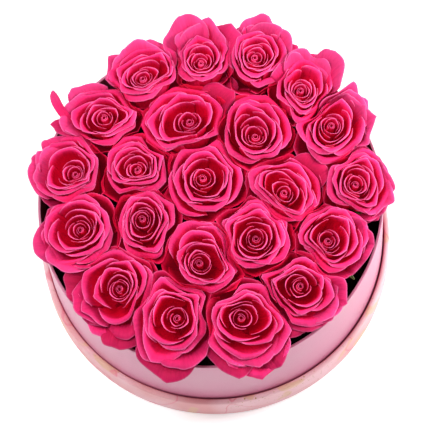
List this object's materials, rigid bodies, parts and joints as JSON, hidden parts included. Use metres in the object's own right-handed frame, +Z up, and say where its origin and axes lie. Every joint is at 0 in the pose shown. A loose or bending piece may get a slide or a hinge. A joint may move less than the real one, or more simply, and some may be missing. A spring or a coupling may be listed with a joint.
{
  "type": "flower hat box",
  "caption": "Round box of paper-covered board standing in its own upturned lid and filled with a low dome of full pink roses, whose short stems stand in black foam.",
  "frame": {"origin": "middle of the underside of the upturned lid, on the surface that it rests on", "axes": "+Z up along the box's axis, -Y towards the side that the picture looks from, +X to the right of the picture"},
  "size_m": [0.3135, 0.3238, 0.1753],
  "materials": {
    "paper": "satin",
    "printed_paper": "satin",
    "foam": "matte",
    "petals": "matte",
    "leaf_green": "matte"
  },
  "bodies": {
    "root": {"lid_panel": "printed_paper", "lid_band": "printed_paper", "box_wall": "paper", "box_base": "paper", "foam": "foam", "bloom_01": "petals", "bloom_02": "petals", "bloom_03": "petals", "bloom_04": "petals", "bloom_05": "petals", "bloom_06": "petals", "bloom_07": "petals", "bloom_08": "petals", "bloom_09": "petals", "bloom_10": "petals", "bloom_11": "petals", "bloom_12": "petals", "bloom_13": "petals", "bloom_14": "petals", "bloom_15": "petals", "bloom_16": "petals", "bloom_17": "petals", "bloom_18": "petals", "bloom_19": "petals", "bloom_20": "petals", "bloom_21": "petals", "bloom_22": "petals", "calyx_01": "leaf_green", "calyx_02": "leaf_green", "calyx_03": "leaf_green", "calyx_04": "leaf_green", "calyx_05": "leaf_green", "calyx_06": "leaf_green", "calyx_07": "leaf_green", "calyx_08": "leaf_green", "calyx_09": "leaf_green", "calyx_10": "leaf_green", "calyx_11": "leaf_green", "calyx_12": "leaf_green", "calyx_13": "leaf_green", "calyx_14": "leaf_green", "calyx_15": "leaf_green", "calyx_16": "leaf_green", "calyx_17": "leaf_green", "calyx_18": "leaf_green", "calyx_19": "leaf_green", "calyx_20": "leaf_green", "calyx_21": "leaf_green", "calyx_22": "leaf_green"}
  },
  "joints": []
}
